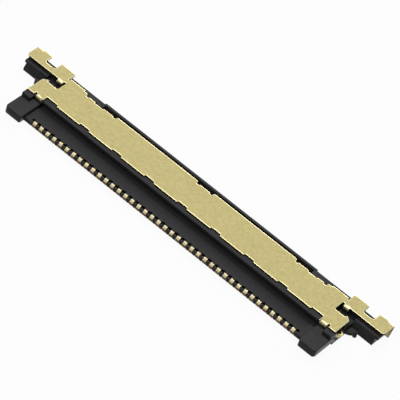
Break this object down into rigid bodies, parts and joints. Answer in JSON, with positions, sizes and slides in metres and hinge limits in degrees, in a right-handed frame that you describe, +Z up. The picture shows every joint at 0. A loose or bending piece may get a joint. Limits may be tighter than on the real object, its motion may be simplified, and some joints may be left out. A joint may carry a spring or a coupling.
{
  "type": "board-to-board connector",
  "caption": "Low right-angle surface-mount board connector with one row of fine-pitch contacts under a formed metal shell, guide horns and soldered ears.",
  "frame": {"origin": "on the board, under the middle of the outline", "axes": "+X along the contact row, +Y to the back, away from the mating board, +Z up from the board"},
  "size_m": [0.027, 0.005, 0.001],
  "materials": {
    "housing": "moulded black, fine matte",
    "shell": "thin gold plate, satin",
    "hold_down": "thin gold plate, satin",
    "contact": "gold plate, bright"
  },
  "bodies": {
    "root": {"housing": "housing", "shell": "shell", "left_hold_down": "hold_down", "right_hold_down": "hold_down", "contact_01": "contact", "contact_02": "contact", "contact_03": "contact", "contact_04": "contact", "contact_05": "contact", "contact_06": "contact", "contact_07": "contact", "contact_08": "contact", "contact_09": "contact", "contact_10": "contact", "contact_11": "contact", "contact_12": "contact", "contact_13": "contact", "contact_14": "contact", "contact_15": "contact", "contact_16": "contact", "contact_17": "contact", "contact_18": "contact", "contact_19": "contact", "contact_20": "contact", "contact_21": "contact", "contact_22": "contact", "contact_23": "contact", "contact_24": "contact", "contact_25": "contact", "contact_26": "contact", "contact_27": "contact", "contact_28": "contact", "contact_29": "contact", "contact_30": "contact", "contact_31": "contact", "contact_32": "contact", "contact_33": "contact", "contact_34": "contact", "contact_35": "contact", "contact_36": "contact", "contact_37": "contact", "contact_38": "contact", "contact_39": "contact", "contact_40": "contact"}
  },
  "joints": []
}
